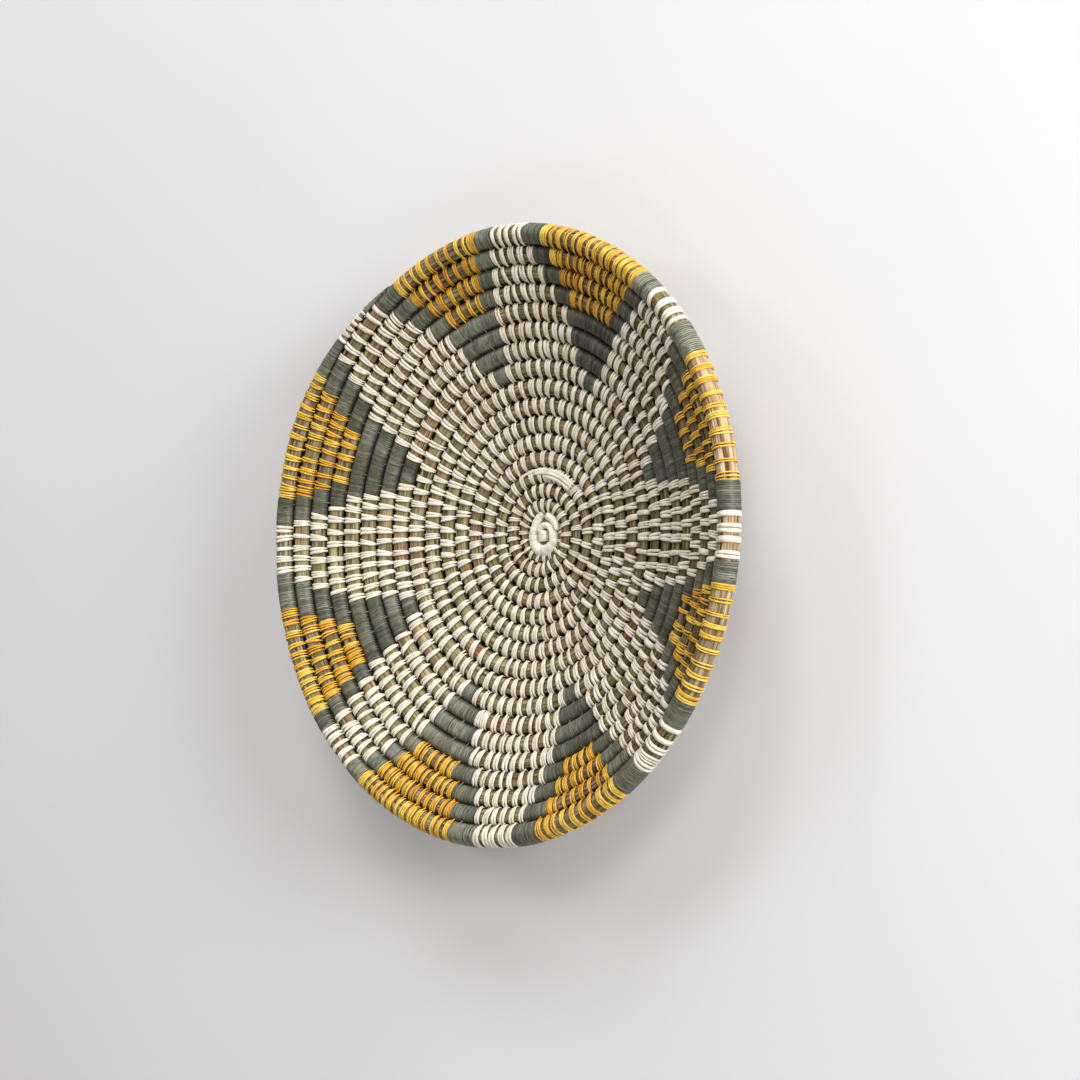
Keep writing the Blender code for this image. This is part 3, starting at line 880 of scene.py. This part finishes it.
def lay_grey(strands, start, end, middle_shade):
    """Grey winding: strands side by side without a gap, a few with a tip into the row before."""
    count = max(int(round((end - start) * turn_length((start + end) / 2.0) / GREY_PITCH)), 1)
    step = (end - start) / count
    until_tip = chance.integers(2, GREY_TIP_EVERY)
    # Painted sheen on the rim
    middle_shade += rim_sheen(start)
    shade = middle_shade + chance.uniform(*GREY_SHADES)
    lean = chance.normal(0.0, GREY_LEAN)
    for index in range(count):
        shade += chance.uniform(*GREY_DRIFTS) + GREY_DRIFT_BACK * (middle_shade - shade)
        until_tip -= 1
        tip = 0.0
        if until_tip == 0:
            tip = tip_length(start) * chance.uniform(*GREY_TIPS)
            until_tip = chance.integers(GREY_TIP_EVERY // 2, GREY_TIP_EVERY * 3 // 2)
        # Sunk strands are tinted darker as painted shade
        sunk = chance.random() < GREY_SUNK
        strands.lay(start + (index + 0.5) * step, GREY_PITCH * GREY_LAP, outer_shift=-lean,
                    inner_shift=lean, tip=tip, lift=SUNK_LIFT if sunk else chance.uniform(*GREY_LIFTS),
                    tint=SUNK_SHADE_TINT if sunk else shade + chance.uniform(*GREY_TINTS))


def ray_angles():
    """The middle of each white ray, on the outer row."""
    starts = [petal[1] for petal in PETALS[1:]] + [PETALS[0][1] + 360.0]
    return [(petal[2] + start) / 2.0 % 360.0 for petal, start in zip(PETALS, starts)]


def wind_strips():
    """Lays every strand from the knot to the tail, each in its petal's or ray's piece."""
    pieces = {}
    angles = ray_angles()

    def piece(name):
        return pieces.setdefault(name, Strands())

    def ray_piece(turn):
        gaps = [degrees_apart(degrees_of(turn), angle) for angle in angles]
        return piece("white_ray_" + RAYS[gaps.index(min(gaps))])

    names = [petal[0] for petal in PETALS]
    yellow = dict(zip(names, zip(YELLOW_PITCHES, YELLOW_STRANDS)))
    done = []
    reached = START_SHARE - 1.0 + FIRST_STITCH
    for start, end, colour, petal in coloured_spans():
        if start - reached > LEAST_RAY / turn_length(start) * WHITE_PITCH:
            below = [turn for turn in done if turn > reached - ROW_BEFORE]
            for turn in walk(reached, start, white_pitch, WHITE_WIDTH, below):
                lay_white(ray_piece(turn), turn)
                done.append(turn)
        if colour == "grey":
            strands = piece("grey_" + ("tail" if petal == "tail" else "petal_" + petal))
            lay_grey(strands, start, end, SHADES[petal][0])
        else:
            pitch, size = yellow[petal]
            found = walk(start, end, lambda turn: pitch, 3.0 * size, done[-LAST_STITCHES:])
            for turn in found:
                full = turn in (found[0], found[-1])
                lay_yellow(piece("yellow_petal_" + petal), turn, full, SHADES[petal][1], size)
                done.append(turn)
        reached = end
    return pieces


def skin(mesh, rings):
    """Closes a tube over some rings of points, and returns its faces."""
    made = []
    for ring, following in zip(rings[:-1], rings[1:]):
        for side in range(len(ring)):
            other = (side + 1) % len(ring)
            made.append(mesh.faces.new((ring[side], ring[other], following[other], following[side])))
    return made + [mesh.faces.new(rings[0]), mesh.faces.new(rings[-1])]


# A new strip laid in lengthwise over the third row, before it is wound. Each strand starts at a
# share of the way and goes from one angle round the bundle to another, and has its half width.

SPLICE_TURNS = (2.062, 2.260)
SPLICE_STEPS = 26
SPLICE_SIDES = 8
SPLICE_STRANDS = ((0.0, 60.0, 64.0, 0.0012), (0.22, 80.0, 86.0, 0.0012), (0.42, 100.0, 109.0, 0.0012))
SPLICE_LIFT = 0.0007
SPLICE_SUNK_ENDS = 0.8
SPLICE_FALL = 8.0
SPLICE_END_WIDTH = 0.4
SPLICE_LENGTH = 0.025
SPLICE_TINTS = (0.5, 0.55)


def join_splice(item):
    """Adds the lengthwise strands to the stitches of the top ray."""
    mesh = bmesh.new()
    mesh.from_mesh(item.data)
    laid = mesh.verts.layers.float_vector["laid"]
    tint = mesh.verts.layers.float["tint"]
    for first_share, first_angle, last_angle, half_width in SPLICE_STRANDS:
        first_turn = SPLICE_TURNS[0] + (SPLICE_TURNS[1] - SPLICE_TURNS[0]) * first_share
        places = on_coil(np.linspace(first_turn, SPLICE_TURNS[1], SPLICE_STEPS))
        rings = []
        for step in range(SPLICE_STEPS):
            share = step / (SPLICE_STEPS - 1)
            angle = math.radians(first_angle + (last_angle - first_angle) * share)
            end_fall = min(1.0, SPLICE_FALL * share, SPLICE_FALL * (1.0 - share))
            lift = SPLICE_LIFT * ((1.0 + SPLICE_SUNK_ENDS) * end_fall - SPLICE_SUNK_ENDS)
            width = half_width * (SPLICE_END_WIDTH + (1.0 - SPLICE_END_WIDTH) * end_fall)
            outward = Vector(places["outward"][step])
            front = Vector(places["front"][step])
            away = outward * math.cos(angle) + front * math.sin(angle)
            aside = front * math.cos(angle) - outward * math.sin(angle)
            aslant = math.copysign(abs(math.cos(angle)) ** SQUARENESS, math.cos(angle))
            middle = (Vector(places["middle"][step]) + outward * (aslant * (places["wide"][step] + lift))
                      + front * (math.sin(angle) ** SQUARENESS * (places["deep"][step] + lift)))
            ring = []
            for side in range(SPLICE_SIDES):
                turn = math.tau * side / SPLICE_SIDES
                across = width * math.cos(turn)
                above = STRAND_THICKNESS * 0.5 * math.sin(turn)
                vert = mesh.verts.new(middle + aside * across + away * above)
                vert[laid] = (across, share * SPLICE_LENGTH, SPLICE_TINTS[0])
                vert[tint] = SPLICE_TINTS[1]
                ring.append(vert)
            rings.append(ring)
        made = skin(mesh, rings)
        bmesh.ops.recalc_face_normals(mesh, faces=made)
        for face in made:
            face.smooth = True
    mesh.to_mesh(item.data)
    mesh.free()


# The knot, as seen from the front. Each band goes through some places: across, up and half
# width, all in millimetres. Then come its middle's height off the back, its half depth and the
# number of wraps that bind it.

KNOT_SIDES = 16
KNOT_BANDS = (
    (((0.2, 13.3, 1.9), (-2.4, 12.2, 2.5), (-5.0, 9.4, 3.0), (-7.2, 4.9, 3.3), (-8.7, 0.0, 3.6),
      (-8.3, -4.8, 3.8), (-5.4, -8.9, 4.0), (-0.6, -10.9, 4.1), (4.4, -9.6, 4.0), (8.2, -6.4, 3.4),
      (9.4, -4.0, 2.6)), 4.0, 3.8, 10),
    (((3.9, 12.2, 3.1), (7.2, 10.2, 3.2), (10.1, 7.5, 3.1), (11.9, 4.6, 2.4),
      (12.6, 2.0, 1.4)), 4.2, 3.5, 2),
    (((-2.8, 1.8, 1.4), (-0.9, 4.7, 1.9), (2.0, 5.9, 2.1), (5.2, 4.9, 2.3), (7.7, 2.4, 2.5),
      (8.7, -1.4, 2.8), (8.6, -5.4, 2.9)), 4.7, 3.3, 4),
    (((-0.1, 2.4, 3.6), (-0.2, -0.9, 4.2), (0.0, -4.6, 4.0)), 4.3, 3.3, 1),
)
# Share of the way along a wrap, and its size there
WRAP_STATIONS = ((-0.04, 0.72), (0.0, 0.96), (0.12, 1.0), (0.5, 1.0), (0.88, 0.97), (1.0, 0.93),
                 (1.06, 0.72))
WRAP_TINTS = (0.3, 0.7)
DIRECTION_STEP = 0.02
# How far past a band's end a wrap may run: a share of the way, and the length of a whole share
MOST_BEYOND = 0.1
BEYOND_LENGTH = 0.02
# A disc behind the knot, dark with painted shade, which shows in the gaps between its bands
GROUND_RADIUS = 0.0110
GROUND_PLACE = -0.0034
GROUND_DEPTH = 0.0012
GROUND_TINT = 0.1
GROUND_SHADE = 0.93
MILLIMETRE = 0.001


def smooth_route(places, share):
    """The place on a smooth line through some places, at a share of the way."""
    places = np.array(places)
    padded = np.vstack([2 * places[0] - places[1], places, 2 * places[-1] - places[-2]])
    step = min(max(share, 0.0), 1.0) * (len(places) - 1)
    index = min(int(step), len(places) - 2)
    part = step - index
    a, b, c, d = padded[index:index + 4]
    return 0.5 * (2 * b + (c - a) * part + (2 * a - 5 * b + 4 * c - d) * part ** 2
                  + (3 * b - a - 3 * c + d) * part ** 3)


def knot_wrap(mesh, laid, band, first, last, tint):
    """One wrap of broad strip round a band of the knot, from a share of the way to another."""
    places, height, depth, _ = band
    rings = []
    travelled = 0.0
    before = None
    for station, size in WRAP_STATIONS:
        share = first + (last - first) * station
        across, up, wide = smooth_route(places, share) * MILLIMETRE
        ahead = (smooth_route(places, min(share, 1.0 - DIRECTION_STEP) + DIRECTION_STEP)
                 - smooth_route(places, max(share, DIRECTION_STEP) - DIRECTION_STEP))
        ahead = Vector((ahead[0], 0.0, ahead[1])).normalized()
        beyond = min(max(share - 1.0, 0.0), MOST_BEYOND) + min(share, 0.0)
        middle = Vector((across, -height * MILLIMETRE, up)) + ahead * (beyond * BEYOND_LENGTH)
        outward = Vector((ahead.z, 0.0, -ahead.x))
        travelled += (middle - before).length if before else 0.0
        before = middle
        ring = []
        for side in range(KNOT_SIDES):
            turn = math.tau * side / KNOT_SIDES
            place = middle + outward * (wide * size * math.cos(turn))
            place.y += depth * MILLIMETRE * size * math.sin(turn)
            vert = mesh.verts.new(place)
            vert[laid] = (travelled, wide * abs(turn - math.pi), tint)
            ring.append(vert)
        rings.append(ring)
    skin(mesh, rings)


def make_knot(material):
    """The white knot: a bound ring, its end laid over it at the upper right, a smaller loop
    inside with a pad in it, and behind them a disc, dark with painted shade, that shows between them."""
    mesh = bmesh.new()
    laid = mesh.verts.layers.float_vector.new("laid")
    groove = mesh.verts.layers.float.new("groove")
    for band in KNOT_BANDS:
        for wrap in range(band[3]):
            knot_wrap(mesh, laid, band, wrap / band[3], (wrap + 1) / band[3], chance.uniform(*WRAP_TINTS))
    bmesh.ops.recalc_face_normals(mesh, faces=mesh.faces)
    ground = bmesh.ops.create_uvsphere(mesh, u_segments=24, v_segments=10, radius=1.0)["verts"]
    for vert in ground:
        x, y, z = vert.co
        vert.co = (x * GROUND_RADIUS, GROUND_PLACE + z * GROUND_DEPTH, y * GROUND_RADIUS)
        # Painted shade: the disc gets a dark tint and a groove's darkness
        vert[laid] = (vert.co.x, vert.co.z, GROUND_TINT)
        vert[groove] = GROUND_SHADE
    bmesh.ops.recalc_face_normals(mesh, faces=[face for face in mesh.faces if face.verts[0] in ground])
    for face in mesh.faces:
        face.smooth = True
    data = bpy.data.meshes.new("white_knot")
    mesh.to_mesh(data)
    mesh.free()
    numbers = np.zeros(len(data.vertices) * 3, np.float32)
    data.attributes["laid"].data.foreach_get("vector", numbers)
    tint = data.attributes.new("tint", "FLOAT", "POINT")
    tint.data.foreach_set("value", np.ascontiguousarray(numbers.reshape(-1, 3)[:, 2]))
    data.materials.append(material)
    dress(shown("white_knot", data), "white_strip", "centre_knot")


# The room

WALL_SIZE = 3.2
WALL_PLACE = 0.0004
WALL_PAINT = ((0.772, 0.774, 0.790), (0.794, 0.796, 0.812))
FOCUS = Vector((0.0, -MIDDLE_HEIGHT, 0.0))
CAMERA_AZIMUTH = 42.9
CAMERA_ELEVATION = -4.6
CAMERA_DISTANCE = 1.313
CAMERA_LEFT = 0.0037
CAMERA_DOWN = 0.0036
LENS = 67.67
SENSOR = 36.0

# Lamps: name, place, size and power
LAMPS = (
    ("window", (2.4, -0.8, 0.4), 0.9, 48.1),
    ("window_top", (2.0, -0.8, 1.5), 0.9, 19.8),
    ("ceiling", (0.3, -1.5, 2.3), 0.9, 18.7),
    ("far_ceiling", (-1.0, -1.0, 2.1), 0.9, 8.7),
    ("far_window", (-1.8, -1.8, 1.2), 0.9, 11.5),
    ("room", (1.5, -2.2, 1.2), 0.9, 13.3),
    ("floor", (1.2, -1.6, -1.6), 0.9, 6.0),
    ("behind", (0.6, 2.2, 0.8), 2.5, 15.0),
)
ROOM_COLOUR = (1.0, 0.955, 0.895, 1.0)
ROOM_STRENGTH = 0.281


def make_wall():
    """A plain pale wall. It is see-through from behind, so that the back can be looked at."""
    mesh = bmesh.new()
    half = WALL_SIZE / 2.0
    corners = ((-half, -half), (half, -half), (half, half), (-half, half))
    mesh.faces.new([mesh.verts.new((x, WALL_PLACE, z)) for x, z in corners])
    data = bpy.data.meshes.new("wall")
    mesh.to_mesh(data)
    mesh.free()
    material, tree, shader = new_material("wall_paint", 0.85, 0.15)
    place = add(tree, "ShaderNodeTexCoord", output="Object")
    paint = ramp(cloud(place, 2.2, 2.0), (0.35, WALL_PAINT[0]), (0.65, WALL_PAINT[1]))
    link(paint, shader, "Base Color")
    roughened(shader, cloud(place, 160.0, 4.0), 0.15, 0.0006)
    behind = add(tree, "ShaderNodeNewGeometry", output="Backfacing")
    shadow = add(tree, "ShaderNodeLightPath", output="Is Shadow Ray")
    painted = Field(tree, shader.outputs[0])
    feeds = {0: reckoned("MAXIMUM", behind, shadow), 1: painted, 2: add(tree, "ShaderNodeBsdfTransparent")}
    link(add(tree, "ShaderNodeMixShader", feeds), tree.nodes["Material Output"], "Surface")
    data.materials.append(material)
    shown("wall", data)


def add_lamp(name, place, size, power):
    lamp = bpy.data.lights.new(name, "AREA")
    lamp.shape = "DISK"
    lamp.size = size
    lamp.energy = power
    item = shown(name, lamp)
    item.location = place
    item.rotation_euler = (FOCUS - Vector(place)).to_track_quat("-Z", "Y").to_euler()


def light_room():
    for lamp in LAMPS:
        add_lamp(*lamp)
    world = bpy.data.worlds.new("pale_room")
    bpy.context.scene.world = world
    world.use_nodes = True
    background = world.node_tree.nodes["Background"]
    background.inputs["Color"].default_value = ROOM_COLOUR
    background.inputs["Strength"].default_value = ROOM_STRENGTH


def set_camera():
    azimuth = math.radians(CAMERA_AZIMUTH)
    elevation = math.radians(CAMERA_ELEVATION)
    back = Vector((math.sin(azimuth) * math.cos(elevation), -math.cos(azimuth) * math.cos(elevation),
                   math.sin(elevation)))
    right = Vector((math.cos(azimuth), math.sin(azimuth), 0.0))
    up = back.cross(right)
    data = bpy.data.cameras.new("camera")
    data.lens = LENS
    data.sensor_width = SENSOR
    item = shown("camera", data)
    item.location = FOCUS + back * CAMERA_DISTANCE - right * CAMERA_LEFT - up * CAMERA_DOWN
    item.rotation_euler = back.to_track_quat("Z", "Y").to_euler()
    bpy.context.scene.camera = item


set_camera()
make_wall()
light_room()
bpy.context.scene.view_settings.view_transform = "Standard"

materials = {colour: strip_material(colour + "_strip_dyed", **looks) for colour, looks in STRIPS.items()}
make_grass(grass_tree(), grass_material())
winding = winding_tree()
for name, strands in wind_strips().items():
    colour = name.split("_")[0]
    sharp_above = GREY_SHARP_ABOVE if colour == "grey" else NEVER_SHARP
    item = strands.make(name, winding, materials[colour], sharp_above)
    if name == "white_ray_top":
        join_splice(item)
    if name == "grey_tail":
        node = "tail_binding"
    else:
        node = name.replace("_petal_", "_wraps_").replace("_ray_", "_stitches_")
    dress(item, colour + "_strip", node)
make_knot(materials["white"])
